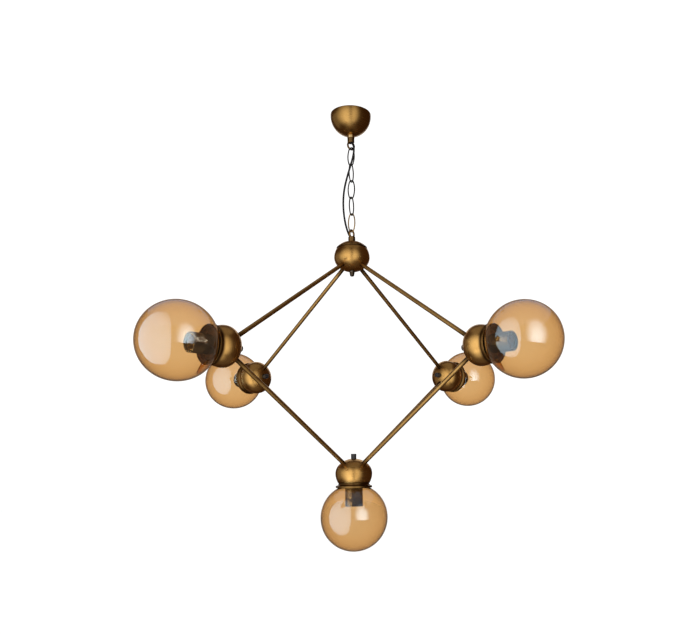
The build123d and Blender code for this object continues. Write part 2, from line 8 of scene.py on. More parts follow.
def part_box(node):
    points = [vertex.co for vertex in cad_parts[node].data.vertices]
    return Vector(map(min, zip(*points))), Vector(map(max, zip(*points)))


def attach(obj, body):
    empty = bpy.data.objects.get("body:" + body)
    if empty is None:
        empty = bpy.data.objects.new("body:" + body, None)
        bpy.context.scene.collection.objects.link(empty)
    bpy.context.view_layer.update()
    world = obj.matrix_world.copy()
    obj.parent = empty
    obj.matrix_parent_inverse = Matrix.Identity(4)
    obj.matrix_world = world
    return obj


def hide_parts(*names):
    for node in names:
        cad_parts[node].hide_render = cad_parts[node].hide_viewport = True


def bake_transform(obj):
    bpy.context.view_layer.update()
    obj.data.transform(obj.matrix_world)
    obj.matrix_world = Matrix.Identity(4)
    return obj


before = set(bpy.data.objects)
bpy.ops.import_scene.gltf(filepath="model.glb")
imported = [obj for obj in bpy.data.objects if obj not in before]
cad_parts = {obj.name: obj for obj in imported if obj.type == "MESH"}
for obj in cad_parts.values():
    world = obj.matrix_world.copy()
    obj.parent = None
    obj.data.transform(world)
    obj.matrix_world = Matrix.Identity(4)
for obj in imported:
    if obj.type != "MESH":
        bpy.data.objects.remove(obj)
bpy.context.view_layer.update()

# Canopy cup
# Spun from brass sheet to a deep half ball with a short straight skirt.
# Its rim closes on the ceiling, and the collar nut below pulls it up there.
SHEET = 0.0012
HOLE_EASE = 0.0002
# Reach of the painted shade round a pole hole, where a collar or cap meets the brass.
POLE_PAINTED_SHADE = 0.004
TURNED_CREASE = 38
ON_AXIS = 1e-7
scene = bpy.context.scene


def oval_arc(half_width, half_height, start, stop, steps):
    """Points on an arc of an oval about the origin, as (radius, height) pairs, angles in degrees."""
    angles = [math.radians(start + (stop - start) * step / steps) for step in range(steps + 1)]
    return [(half_width * math.cos(a), half_height * math.sin(a)) for a in angles]


def arc(centre, radius, start, stop, steps):
    """Points on an arc of a circle, angles in degrees."""
    return [(centre[0] + x, centre[1] + y) for x, y in oval_arc(radius, radius, start, stop, steps)]


def with_painted_shade(points, start=0.0, stop=0.0):
    """Points with the painted shade of a crease, full at an end and gone a given reach away from it."""
    ways = [0.0]
    for before, after in zip(points, points[1:]):
        ways.append(ways[-1] + math.dist(before, after))
    marked = []
    for (radius, height), way in zip(points, ways):
        near_start = 1 - way / start if start else 0.0
        near_stop = 1 - (ways[-1] - way) / stop if stop else 0.0
        marked.append((radius, height, max(near_start, near_stop, 0.0)))
    return marked


def placed(name, data):
    """New object in the scene, at the origin."""
    piece = bpy.data.objects.new(name, data)
    scene.collection.objects.link(piece)
    return piece


def meshed(name, shape, crease):
    """Piece of a drawn shape, smooth but for edges sharper than a crease in degrees."""
    mesh = bpy.data.meshes.new(name)
    shape.to_mesh(mesh)
    shape.free()
    mesh.shade_smooth()
    mesh.set_sharp_from_angle(angle=math.radians(crease))
    return placed(name, mesh)


def turned(name, outline, steps=128, closed=True):
    """Piece turned about Z from (radius, height) points, some with painted shade. A point on the axis is a
    pole.
    """
    shape = bmesh.new()
    grain = shape.verts.layers.float.new("grain")
    painted_shade = shape.verts.layers.float.new("painted_shade")
    rings = []
    travelled = 0.0
    for index, (radius, height, *mark) in enumerate(outline):
        if index:
            travelled += math.dist(outline[index - 1][:2], (radius, height))
        ring = []
        for step in range(steps if radius > ON_AXIS else 1):
            angle = 2 * math.pi * step / steps
            vert = shape.verts.new((radius * math.cos(angle), radius * math.sin(angle), height))
            vert[grain] = travelled
            vert[painted_shade] = mark[0] if mark else 0.0
            ring.append(vert)
        rings.append(ring)
    pairs = list(zip(rings, rings[1:]))
    if closed:
        pairs.append((rings[-1], rings[0]))
    for low, high in pairs:
        for step in range(steps):
            after = step + 1
            corners = [
                low[step % len(low)],
                low[after % len(low)],
                high[after % len(high)],
                high[step % len(high)],
            ]
            corners = list(dict.fromkeys(corners))
            if len(corners) > 2:
                shape.faces.new(corners)
    if shape.calc_volume(signed=True) < 0:
        bmesh.ops.reverse_faces(shape, faces=shape.faces)
    return meshed(name, shape, TURNED_CREASE)


def clothe(piece, material):
    """Give a piece one material, in place of any that it has."""
    piece.data.materials.clear()
    piece.data.materials.append(material)


def bare_finish(name):
    """New material, with its nodes, the call that links them, and its shader."""
    material = bpy.data.materials.new(name)
    material.use_nodes = True
    nodes = material.node_tree.nodes
    return material, nodes, material.node_tree.links.new, nodes["Principled BSDF"]


def brass_finish(name, bright, dull, rough, line_pitch):
    """Antique brass: a cloudy tone, fine lines from spinning or drawing, and painted shade darkening the
    creases.
    """
    brass, nodes, link, shader = bare_finish(name)
    shader.inputs["Metallic"].default_value = 1.0
    place = nodes.new("ShaderNodeTexCoord")
    cloud = nodes.new("ShaderNodeTexNoise")
    cloud.inputs["Scale"].default_value = 30.0
    cloud.inputs["Detail"].default_value = 4.0
    cloud.inputs["Roughness"].default_value = 0.55
    tone = nodes.new("ShaderNodeValToRGB")
    tone.color_ramp.elements[0].position = 0.34
    tone.color_ramp.elements[0].color = (*dull, 1.0)
    tone.color_ramp.elements[1].position = 0.66
    tone.color_ramp.elements[1].color = (*bright, 1.0)
    link(place.outputs["Object"], cloud.inputs["Vector"])
    link(cloud.outputs["Fac"], tone.inputs["Fac"])
    # Painted shade: marked points are darkened towards this near-black brown, in creases and joints.
    painted_shade = nodes.new("ShaderNodeAttribute")
    painted_shade.attribute_name = "painted_shade"
    darken = nodes.new("ShaderNodeMix")
    darken.data_type = "RGBA"
    darken.inputs["B"].default_value = (0.040, 0.018, 0.008, 1.0)
    link(painted_shade.outputs["Fac"], darken.inputs["Factor"])
    link(tone.outputs["Color"], darken.inputs["A"])
    link(darken.outputs["Result"], shader.inputs["Base Color"])
    grain = nodes.new("ShaderNodeAttribute")
    grain.attribute_name = "grain"
    lines = nodes.new("ShaderNodeTexNoise")
    lines.noise_dimensions = "1D"
    lines.inputs["Scale"].default_value = 1.0 / line_pitch
    lines.inputs["Detail"].default_value = 3.0
    link(grain.outputs["Fac"], lines.inputs["W"])
    spread = nodes.new("ShaderNodeMapRange")
    spread.inputs["From Min"].default_value = 0.3
    spread.inputs["From Max"].default_value = 0.7
    spread.inputs["To Min"].default_value = rough[0]
    spread.inputs["To Max"].default_value = rough[1]
    link(lines.outputs["Fac"], spread.inputs["Value"])
    link(spread.outputs["Result"], shader.inputs["Roughness"])
    bump = nodes.new("ShaderNodeBump")
    bump.inputs["Strength"].default_value = 0.035
    bump.inputs["Distance"].default_value = 0.0002
    link(lines.outputs["Fac"], bump.inputs["Height"])
    link(bump.outputs["Normal"], shader.inputs["Normal"])
    return brass


cup_low, cup_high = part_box("canopy_cup")
cup_radius = cup_high.x
cup_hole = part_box("canopy_tube")[1].x + HOLE_EASE
cup_turn = cup_low.z + math.sqrt(cup_radius**2 - cup_hole**2)
cup_centre = (0.0, cup_turn)
cup_pole_angle = -math.degrees(math.acos(cup_hole / cup_radius))
cup_inner_angle = -math.degrees(math.acos(cup_hole / (cup_radius - SHEET)))
cup_rim = SHEET / 2
cup_outline = arc((cup_radius - cup_rim, -cup_rim), cup_rim, 180, 0, steps=8)
# The outside is painted darker near the pole hole, as shade by the collar.
cup_outline += with_painted_shade(arc(cup_centre, cup_radius, 0, cup_pole_angle, steps=56), stop=POLE_PAINTED_SHADE)
cup_outline += arc(cup_centre, cup_radius - SHEET, cup_inner_angle, 0, steps=56)
# The canopy's brass: the hub's spun brass painted darker, as shade on the cup.
cup_brass_painted_shade = brass_finish(
    "cup_brass_painted_shade",
    bright=(0.56, 0.335, 0.105),
    dull=(0.44, 0.25, 0.072),
    rough=(0.25, 0.34),
    line_pitch=0.0008,
)
canopy_cup = turned("canopy_cup_spun", cup_outline)
clothe(canopy_cup, cup_brass_painted_shade)
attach(canopy_cup, "canopy")
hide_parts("canopy_cup")

# Strap, nut, tube and terminal block
# Plated steel pieces that the canopy hides, and a pale moulded block with its screws.
# They show only from above, through the open top of the cup.
PLATE_SPREAD = 0.1
FLOW_SPREAD = 0.25


def plated_steel(name, tone, dark_tone, rough):
    """Metal plate: a grey with a faint crystalline cloud."""
    steel, nodes, link, shader = bare_finish(name)
    shader.inputs["Metallic"].default_value = 1.0
    place = nodes.new("ShaderNodeTexCoord")
    spangle = nodes.new("ShaderNodeTexVoronoi")
    spangle.inputs["Scale"].default_value = 420.0
    tint = nodes.new("ShaderNodeValToRGB")
    tint.color_ramp.elements[0].color = (*dark_tone, 1.0)
    tint.color_ramp.elements[1].color = (*tone, 1.0)
    link(place.outputs["Object"], spangle.inputs["Vector"])
    link(spangle.outputs["Distance"], tint.inputs["Fac"])
    link(tint.outputs["Color"], shader.inputs["Base Color"])
    patch = nodes.new("ShaderNodeTexNoise")
    patch.inputs["Scale"].default_value = 160.0
    spread = nodes.new("ShaderNodeMapRange")
    spread.inputs["To Min"].default_value = rough - PLATE_SPREAD
    spread.inputs["To Max"].default_value = rough + PLATE_SPREAD
    link(place.outputs["Object"], patch.inputs["Vector"])
    link(patch.outputs["Fac"], spread.inputs["Value"])
    link(spread.outputs["Result"], shader.inputs["Roughness"])
    return steel


def moulded_plastic(name, tone, second_tone, rough, grain_size, grain_depth):
    """Moulded plastic with a slight flow pattern and a fine skin."""
    plastic, nodes, link, shader = bare_finish(name)
    place = nodes.new("ShaderNodeTexCoord")
    flow = nodes.new("ShaderNodeTexNoise")
    flow.inputs["Scale"].default_value = 60.0
    flow.inputs["Detail"].default_value = 4.0
    tint = nodes.new("ShaderNodeValToRGB")
    tint.color_ramp.elements[0].color = (*tone, 1.0)
    tint.color_ramp.elements[1].color = (*second_tone, 1.0)
    link(place.outputs["Object"], flow.inputs["Vector"])
    link(flow.outputs["Fac"], tint.inputs["Fac"])
    link(tint.outputs["Color"], shader.inputs["Base Color"])
    spread = nodes.new("ShaderNodeMapRange")
    spread.inputs["To Min"].default_value = rough * (1 - FLOW_SPREAD)
    spread.inputs["To Max"].default_value = rough * (1 + FLOW_SPREAD)
    link(flow.outputs["Fac"], spread.inputs["Value"])
    link(spread.outputs["Result"], shader.inputs["Roughness"])
    skin = nodes.new("ShaderNodeTexNoise")
    skin.inputs["Scale"].default_value = 1.0 / grain_size
    link(place.outputs["Object"], skin.inputs["Vector"])
    bump = nodes.new("ShaderNodeBump")
    bump.inputs["Strength"].default_value = 0.15
    bump.inputs["Distance"].default_value = grain_depth
    link(skin.outputs["Fac"], bump.inputs["Height"])
    link(bump.outputs["Normal"], shader.inputs["Normal"])
    return plastic


zinc = plated_steel("zinc_plate", tone=(0.66, 0.66, 0.64), dark_tone=(0.50, 0.50, 0.50), rough=0.34)
pale_block = moulded_plastic(
    "pale_block",
    tone=(0.78, 0.77, 0.73),
    second_tone=(0.70, 0.69, 0.66),
    rough=0.5,
    grain_size=0.0006,
    grain_depth=0.0001,
)
for steel_piece in ("ceiling_strap", "strap_nut", "canopy_tube", "terminal_screws"):
    clothe(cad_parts[steel_piece], zinc)
clothe(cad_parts["terminal_block"], pale_block)

# Collar nut and the two cast loops
# The collar is a plain turned brass ring under the cup, polished bright.
# Each loop is cast in brass in one piece with its base, and is coloured darker than the cup.
COLLAR_EDGE = 0.0014
polished_brass = brass_finish(
    "polished_brass",
    bright=(0.93, 0.68, 0.33),
    dull=(0.66, 0.45, 0.19),
    rough=(0.18, 0.28),
    line_pitch=0.0008,
)
cast_brass = brass_finish(
    "cast_brass",
    bright=(0.34, 0.205, 0.078),
    dull=(0.15, 0.088, 0.036),
    rough=(0.24, 0.36),
    line_pitch=0.0008,
)
collar_low, collar_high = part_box("canopy_collar")
collar_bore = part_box("canopy_tube")[1].x
collar_side = collar_high.x - COLLAR_EDGE
collar_outline = [(collar_bore, collar_high.z), (collar_bore, collar_low.z)]
collar_outline += arc((collar_side, collar_low.z + COLLAR_EDGE), COLLAR_EDGE, -90, 0, steps=8)
collar_outline += arc((collar_side, collar_high.z - COLLAR_EDGE), COLLAR_EDGE, 0, 90, steps=8)
collar = turned("canopy_collar_ring", collar_outline, steps=96)
clothe(collar, polished_brass)
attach(collar, "canopy")
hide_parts("canopy_collar")
for loop in ("canopy_loop", "hub_loop"):
    clothe(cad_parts[loop], cast_brass)

# Chain
# Oval links bent from wire and closed, each hung in the one above and standing across it.
# The upper ones are brass painted near black as shade, and the lowest is plain brass.
LINK_COUNT = 5
LINK_CROWN = 0.006
LINK_BULGE = 0.003
LINK_STEPS = 24
WIRE_RADIUS = 0.0015
WIRE_FACETS = 24
CHAIN_TURN = 11.0


def tree_with_inputs(name, inputs):
    """Geometry node tree with a geometry in and out, and named inputs."""
    tree = bpy.data.node_groups.new(name, "GeometryNodeTree")
    tree.interface.new_socket("Geometry", in_out="INPUT", socket_type="NodeSocketGeometry")
    tree.interface.new_socket("Geometry", in_out="OUTPUT", socket_type="NodeSocketGeometry")
    for label, kind in inputs:
        tree.interface.new_socket(label, in_out="INPUT", socket_type=kind)
    return tree, tree.nodes.new("NodeGroupInput"), tree.nodes.new("NodeGroupOutput")


def grown(source, tree, values):
    """Plain mesh object that a node tree makes from source, which it then replaces."""
    modifier = source.modifiers.new(tree.name, "NODES")
    modifier.node_group = tree
    for item in tree.interface.items_tree:
        if item.in_out == "INPUT" and item.name in values:
            modifier[item.identifier] = values[item.name]
    ready = source.evaluated_get(bpy.context.evaluated_depsgraph_get())
    mesh = bpy.data.meshes.new_from_object(ready)
    name = source.name
    bpy.data.objects.remove(source)
    mesh.name = name
    return placed(name, mesh)


def link_tree():
    """Wire of a round section along the link's line, turned and hung at its place."""
    tree, given, result = tree_with_inputs("chain link wire", [
        ("Wire radius", "NodeSocketFloat"),
        ("Turn", "NodeSocketFloat"),
        ("Height", "NodeSocketFloat"),
        ("Finish", "NodeSocketMaterial"),
    ])
    nodes = tree.nodes
    link = tree.links.new
    section = nodes.new("GeometryNodeCurvePrimitiveCircle")
    section.inputs["Resolution"].default_value = WIRE_FACETS
    wire = nodes.new("GeometryNodeCurveToMesh")
    turn = nodes.new("ShaderNodeCombineXYZ")
    height = nodes.new("ShaderNodeCombineXYZ")
    hang = nodes.new("GeometryNodeTransform")
    realize = nodes.new("GeometryNodeRealizeInstances")
    smooth = nodes.new("GeometryNodeSetShadeSmooth")
    finish = nodes.new("GeometryNodeSetMaterial")
    link(given.outputs["Wire radius"], section.inputs["Radius"])
    link(given.outputs["Geometry"], wire.inputs["Curve"])
    link(section.outputs["Curve"], wire.inputs["Profile Curve"])
    link(given.outputs["Turn"], turn.inputs["Z"])
    link(given.outputs["Height"], height.inputs["Z"])
    link(wire.outputs["Mesh"], hang.inputs["Geometry"])
    link(height.outputs["Vector"], hang.inputs["Translation"])
    link(turn.outputs["Vector"], hang.inputs["Rotation"])
    link(hang.outputs["Geometry"], smooth.inputs["Geometry"])
    link(smooth.outputs["Geometry"], realize.inputs["Geometry"])
    link(realize.outputs["Geometry"], finish.inputs["Geometry"])
    link(given.outputs["Finish"], finish.inputs["Material"])
    link(finish.outputs["Geometry"], result.inputs["Geometry"])
    return tree


def drawn_line(name, kind, points):
    """Curve object with one spline of a kind, on the points given."""
    curve = bpy.data.curves.new(name, "CURVE")
    curve.dimensions = "3D"
    spline = curve.splines.new(kind)
    spline.points.add(len(points) - 1)
    for point, place in zip(spline.points, points):
        point.co = (*place, 1.0)
    return placed(name, curve)


def link_line(name, half_length):
    """Closed line of a link: two crowns joined by two long side arcs, in the XZ plane."""
    reach = half_length - LINK_CROWN
    half_width = LINK_CROWN + LINK_BULGE
    side = (half_width**2 + reach**2 - LINK_CROWN**2) / (2 * LINK_BULGE)
    offset = side - half_width
    lean = math.degrees(math.atan2(reach, offset))
    points = arc((-offset, 0), side, -lean, lean, LINK_STEPS)[:-1]
    points += arc((0, reach), LINK_CROWN, lean, 180 - lean, LINK_STEPS)[:-1]
    points += arc((offset, 0), side, 180 - lean, 180 + lean, LINK_STEPS)[:-1]
    points += arc((0, -reach), LINK_CROWN, 180 + lean, 360 - lean, LINK_STEPS)[:-1]
    line = drawn_line(name, "POLY", [(x, 0.0, z) for x, z in points])
    line.data.splines[0].use_cyclic_u = True
    return line


# The upper links' brass, painted near black as shade on the thin wire.
chain_brass_painted_shade = brass_finish(
    "chain_brass_painted_shade",
    bright=(0.034, 0.026, 0.018),
    dull=(0.014, 0.011, 0.008),
    rough=(0.30, 0.42),
    line_pitch=0.0005,
)
link_brass = brass_finish(
    "link_brass",
    bright=(0.50, 0.33, 0.130),
    dull=(0.33, 0.21, 0.080),
    rough=(0.24, 0.34),
    line_pitch=0.0005,
)
link_wire = link_tree()
for number in range(1, LINK_COUNT + 1):
    node = f"chain_link_{number}"
    lowest = number == LINK_COUNT
    link_low, link_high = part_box(node)
    line = link_line(f"{node}_wire", (link_high.z - link_low.z) / 2 - WIRE_RADIUS)
    piece = grown(line, link_wire, {
        "Wire radius": WIRE_RADIUS,
        "Turn": math.radians(CHAIN_TURN + (90 if number % 2 else 0)),
        "Height": (link_high.z + link_low.z) / 2,
        "Finish": link_brass if lowest else chain_brass_painted_shade,
    })
    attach(piece, f"link_{number}")
    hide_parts(node)

# Supply cord
# A black sheathed flex, a little slack, that bows out beside the chain from the upper loop to the lower.
# Its six lengths meet at the middles of the links, and each spans one hinge.
CORD_RADIUS = 0.0023
CORD_SIDES = 20
CORD_CREASE = 60
CORD_INSIDE = 0.010
CORD_POINTS = [
    (-0.0056, -0.0010, -0.0744),
    (-0.0108, -0.0040, -0.0835),
    (-0.0132, -0.0075, -0.0970),
    (-0.0128, -0.0110, -0.1120),
    (-0.0102, -0.0142, -0.1270),
    (-0.0063, -0.0162, -0.1415),
    (-0.0012, -0.0166, -0.1560),
    (0.0055, -0.0156, -0.1730),
    (0.0120, -0.0130, -0.1900),
    (0.0166, -0.0096, -0.2080),
    (0.0186, -0.0070, -0.2270),
    (0.0178, -0.0056, -0.2470),
    (0.0146, -0.0054, -0.2660),
    (0.0104, -0.0049, -0.2820),
    (0.0058, -0.0028, -0.2970),
]
chain_turn = math.radians(CHAIN_TURN)
cord_low, cord_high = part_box("supply_cord")
route = [(0.0, 0.0, cord_high.z), (0.0, 0.0, cord_high.z - CORD_INSIDE)]
for across_odd, across_even, height in CORD_POINTS:
    x = across_even * math.cos(chain_turn) - across_odd * math.sin(chain_turn)
    y = across_even * math.sin(chain_turn) + across_odd * math.cos(chain_turn)
    route.append((x, y, height))
route += [(0.0, 0.0, cord_low.z + CORD_INSIDE), (0.0, 0.0, cord_low.z)]
route_object = drawn_line("cord_route", "NURBS", route)
route_object.data.resolution_u = 10
route_object.data.splines[0].order_u = 3
route_object.data.splines[0].use_endpoint_u = True
route_ready = route_object.evaluated_get(bpy.context.evaluated_depsgraph_get())
route_mesh = bpy.data.meshes.new_from_object(route_ready)
cord_line = [vert.co.copy() for vert in route_mesh.vertices]
bpy.data.objects.remove(route_object)
bpy.data.meshes.remove(route_mesh)


def cut_at(line, height):
    """Index of the line's point nearest to a height."""
    return min(range(len(line)), key=lambda index: abs(line[index].z - height))


def sheath(name, line):
    """Round tube along a line, with rings that keep their side, and flat closed ends."""
    shape = bmesh.new()
    grain = shape.verts.layers.float.new("grain")
    side = Vector((1.0, 0.0, 0.0))
    rings = []
    travelled = 0.0
    for index, place in enumerate(line):
        before = line[max(index - 1, 0)]
        after = line[min(index + 1, len(line) - 1)]
        ahead = (after - before).normalized()
        across = (side - ahead * side.dot(ahead)).normalized()
        over = ahead.cross(across)
        travelled += (place - before).length
        ring = []
        for step in range(CORD_SIDES):
            angle = 2 * math.pi * step / CORD_SIDES
            spread = across * math.cos(angle) + over * math.sin(angle)
            vert = shape.verts.new(place + spread * CORD_RADIUS)
            vert[grain] = travelled
            ring.append(vert)
        rings.append(ring)
    for low, high in zip(rings, rings[1:]):
        for step in range(CORD_SIDES):
            after = (step + 1) % CORD_SIDES
            shape.faces.new((low[step], low[after], high[after], high[step]))
    shape.faces.new(list(reversed(rings[0])))
    shape.faces.new(rings[-1])
    bmesh.ops.recalc_face_normals(shape, faces=shape.faces)
    return meshed(name, shape, CORD_CREASE)


black_sheath = moulded_plastic(
    "black_sheath",
    tone=(0.008, 0.008, 0.008),
    second_tone=(0.014, 0.013, 0.013),
    rough=0.50,
    grain_size=0.0004,
    grain_depth=0.00008,
)
black_sheath.node_tree.nodes["Principled BSDF"].inputs["Specular IOR Level"].default_value = 0.06
cuts = [0]
for number in range(1, LINK_COUNT + 1):
    link_low, link_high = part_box(f"chain_link_{number}")
    cuts.append(cut_at(cord_line, (link_low.z + link_high.z) / 2))
cuts.append(len(cord_line) - 1)
for number, (first, last) in enumerate(zip(cuts, cuts[1:]), 1):
    stretch = cord_line[first:last + 1]
    piece = sheath(f"supply_cord_{number}", stretch)
    clothe(piece, black_sheath)
    ahead = (stretch[-1] - stretch[0]).normalized()
    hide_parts("supply_cord")
    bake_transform(piece)
for bush in ("canopy_cord_bush", "hub_cord_bush"):
    clothe(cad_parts[bush], black_sheath)

# Hub
# A spun brass ball, flattened below, and a domed lid with a rolled rim, which a hollow rod pulls together.
# The loop above and a dark turned finial below hold the rod. Its lock nut and a junction block are inside.
BALL_CUT = 0.022
BALL_POLE = 0.033
# Reach of the painted shade at a ball's open rim, where the lid or dish meets it.
BALL_PAINTED_SHADE = 0.0045
ball_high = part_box("hub_ball")[1]
ball_radius = ball_high.x
hub_level = ball_high.z - BALL_CUT
rod_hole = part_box("hub_rod")[1].x + HOLE_EASE


def ball_outline():
    """Ball from its open end round to the hole at its flattened pole, and back inside."""
    inner = ball_radius - SHEET
    open_angle = math.degrees(math.asin(BALL_CUT / ball_radius))
    inner_angle = math.degrees(math.asin(BALL_CUT / inner))
    pole_angle = -math.degrees(math.acos(rod_hole / ball_radius))
    inner_pole = -math.degrees(math.acos(rod_hole / inner))
    # Painted shade on the outside at the open rim and round the pole hole.
    outline = with_painted_shade(arc((0, 0), ball_radius, open_angle, 0, steps=20), start=BALL_PAINTED_SHADE)
    outline += with_painted_shade(oval_arc(ball_radius, BALL_POLE, 0, pole_angle, steps=48), stop=POLE_PAINTED_SHADE)[1:]
    outline += oval_arc(inner, BALL_POLE - SHEET, inner_pole, 0, steps=48)
    outline += arc((0, 0), inner, 0, inner_angle, steps=20)[1:]
    return outline


spun_brass = brass_finish(
    "spun_brass",
    bright=(0.70, 0.415, 0.130),
    dull=(0.55, 0.31, 0.09),
    rough=(0.25, 0.34),
    line_pitch=0.0008,
)
hub_ball = turned("hub_ball_spun", ball_outline(), steps=144)
hub_ball.data.transform(Matrix.Translation((0, 0, hub_level)))
clothe(hub_ball, spun_brass)
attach(hub_ball, "lamp")
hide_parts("hub_ball")

LID_RIM = 0.0016
# Painted shade on the lid's bead, where it meets the ball, and at both ends of its dome.
LID_RIM_PAINTED_SHADE = 0.75
LID_PAINTED_SHADE = 0.003
LID_LAP_ANGLE = 0.8
lid_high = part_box("hub_lid")[1]
lid_radius = lid_high.x
lid_inside = lid_radius - 2 * SHEET
lid_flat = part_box("hub_loop")[1].y + SHEET / 2
lid_top = lid_high.z - hub_level
rim_top = BALL_CUT + LID_RIM
dome_level = (lid_top + rim_top - (lid_radius**2 - lid_flat**2) / (lid_top - rim_top)) / 2
dome_radius = math.hypot(lid_radius, rim_top - dome_level)
dome_start = math.degrees(math.asin((rim_top - dome_level) / dome_radius))
dome_end = math.degrees(math.asin((lid_top - dome_level) / dome_radius))
under_radius = dome_radius - SHEET
under_start = math.degrees(math.acos(lid_inside / under_radius))
under_end = math.degrees(math.asin((lid_top - SHEET - dome_level) / under_radius))
lid_bead = arc((lid_radius - LID_RIM / 2, BALL_CUT + LID_RIM / 2), LID_RIM / 2, -90, 75, steps=12)
lid_dome = arc((0, dome_level), dome_radius, dome_start + LID_LAP_ANGLE, dome_end, steps=40)
lid_outline = [(lid_inside, BALL_CUT)]
lid_outline += [(radius, height, LID_RIM_PAINTED_SHADE) for radius, height in lid_bead]
lid_outline += with_painted_shade(lid_dome, start=LID_PAINTED_SHADE, stop=LID_PAINTED_SHADE)
lid_outline += [(rod_hole, lid_top), (rod_hole, lid_top - SHEET)]
lid_outline += arc((0, dome_level), under_radius, under_end, under_start, steps=40)
hub_lid = turned("hub_lid_spun", lid_outline, steps=144)
hub_lid.data.transform(Matrix.Translation((0, 0, hub_level)))
clothe(hub_lid, spun_brass)
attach(hub_lid, "lamp")
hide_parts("hub_lid")

FINIAL_TIP = 0.0022
FINIAL_NOSE = 0.002
FINIAL_NOSE_OUT = 0.0028
FINIAL_WAIST = (0.0056, 0.0060)
FINIAL_BRIM = 0.0024
FINIAL_BRIM_IN = 0.0005
FINIAL_EDGE = 0.0006
FINIAL_SEAT = 0.001
dark_bronze = brass_finish(
    "dark_bronze",
    bright=(0.105, 0.078, 0.050),
    dull=(0.050, 0.038, 0.028),
    rough=(0.30, 0.42),
    line_pitch=0.0005,
)
finial_low, finial_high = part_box("hub_finial")
finial_length = finial_high.z - finial_low.z
finial_seat = finial_length - FINIAL_SEAT
finial_outline = [(0.0, 0.0), (FINIAL_TIP, 0.0)]
finial_outline += arc((FINIAL_NOSE_OUT, FINIAL_NOSE), FINIAL_NOSE, -80, -10, steps=10)
finial_outline += [FINIAL_WAIST, (finial_high.x - FINIAL_BRIM_IN, finial_length - FINIAL_BRIM)]
finial_outline += arc((finial_high.x - FINIAL_EDGE, finial_seat - FINIAL_EDGE), FINIAL_EDGE, -20, 90, steps=6)
finial_outline += [(0.0, finial_seat)]
finial = turned("hub_finial_turned", finial_outline, steps=64, closed=False)
finial.data.transform(Matrix.Translation((0, 0, finial_low.z)))
clothe(finial, dark_bronze)
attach(finial, "lamp")
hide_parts("hub_finial")

for steel_piece in ("hub_rod", "hub_nut"):
    clothe(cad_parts[steel_piece], zinc)
clothe(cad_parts["junction_block"], pale_block)

# Arms
# Straight drawn brass tubes, four from the hub to the corner balls and four on to the bottom ball.
# Lock nuts inside the balls hold them. Painted shade darkens them near the balls, and some carry black flex.
ARM_FACETS = 40
ARM_CREASE = 50
# Painted shade on the arms where they enter the balls, and how far along it fades out.
ARM_END_PAINTED_SHADE = 0.9
ARM_PAINTED_SHADE_REACH = 0.022
arm_low, arm_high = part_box("upper_arm_right")
arm_radius = arm_high.y


def arm_tree():
    """Tubes along the edges of a mesh, with closed ends and drawing lines along them."""
    tree, given, result = tree_with_inputs("drawn arm tubes", [
        ("Tube radius", "NodeSocketFloat"),
        ("Finish", "NodeSocketMaterial"),
    ])
    nodes = tree.nodes
    link = tree.links.new
    lines = nodes.new("GeometryNodeMeshToCurve")
    section = nodes.new("GeometryNodeCurvePrimitiveCircle")
    section.inputs["Resolution"].default_value = ARM_FACETS
    count = nodes.new("GeometryNodeInputIndex")
    pitch = nodes.new("ShaderNodeMath")
    pitch.operation = "MULTIPLY"
    pitch.inputs[1].default_value = 2 * math.pi * arm_radius / ARM_FACETS
    keep = nodes.new("GeometryNodeStoreNamedAttribute")
    keep.data_type = "FLOAT"
    keep.domain = "POINT"
    keep.inputs["Name"].default_value = "grain"
    tubes = nodes.new("GeometryNodeCurveToMesh")
    tubes.inputs["Fill Caps"].default_value = True
    realize = nodes.new("GeometryNodeRealizeInstances")
    smooth = nodes.new("GeometryNodeSetShadeSmooth")
    finish = nodes.new("GeometryNodeSetMaterial")
    link(given.outputs["Geometry"], lines.inputs["Mesh"])
    link(given.outputs["Tube radius"], section.inputs["Radius"])
    link(count.outputs["Index"], pitch.inputs[0])
    link(section.outputs["Curve"], keep.inputs["Geometry"])
    link(pitch.outputs["Value"], keep.inputs["Value"])
    link(lines.outputs["Curve"], tubes.inputs["Curve"])
    link(keep.outputs["Geometry"], tubes.inputs["Profile Curve"])
    link(tubes.outputs["Mesh"], smooth.inputs["Geometry"])
    link(smooth.outputs["Geometry"], realize.inputs["Geometry"])
    link(realize.outputs["Geometry"], finish.inputs["Geometry"])
    link(given.outputs["Finish"], finish.inputs["Material"])
    link(finish.outputs["Geometry"], result.inputs["Geometry"])
    return tree


sides = {"left": (-1, 0, 0), "front": (0, -1, 0), "right": (1, 0, 0), "back": (0, 1, 0)}
corner_low, corner_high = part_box("corner_ball_left")
corner_level = (corner_low.z + corner_high.z) / 2
corner_reach = -corner_low.x - BALL_CUT
bottom_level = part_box("bottom_ball")[0].z + BALL_CUT
corners = {}
for side, axis in sides.items():
    corners[side] = Vector((corner_reach * axis[0], corner_reach * axis[1], corner_level))
arm_length = math.hypot(corner_reach, hub_level - corner_level)
slope = (hub_level - corner_level) / arm_length
tilt = corner_reach / arm_length
arm_start = (arm_low.x + arm_radius * slope) / tilt
arm_stop = (arm_high.x - arm_radius * slope) / tilt
near_wall = ball_radius
far_wall = arm_length - ball_radius
arm_stops = [
    (arm_start, ARM_END_PAINTED_SHADE),
    (near_wall, ARM_END_PAINTED_SHADE),
    (near_wall + ARM_PAINTED_SHADE_REACH, 0.0),
    (far_wall - ARM_PAINTED_SHADE_REACH, 0.0),
    (far_wall, ARM_END_PAINTED_SHADE),
    (arm_stop, ARM_END_PAINTED_SHADE),
]
arm_points = []
arm_painted_shades = []
arm_edges = []
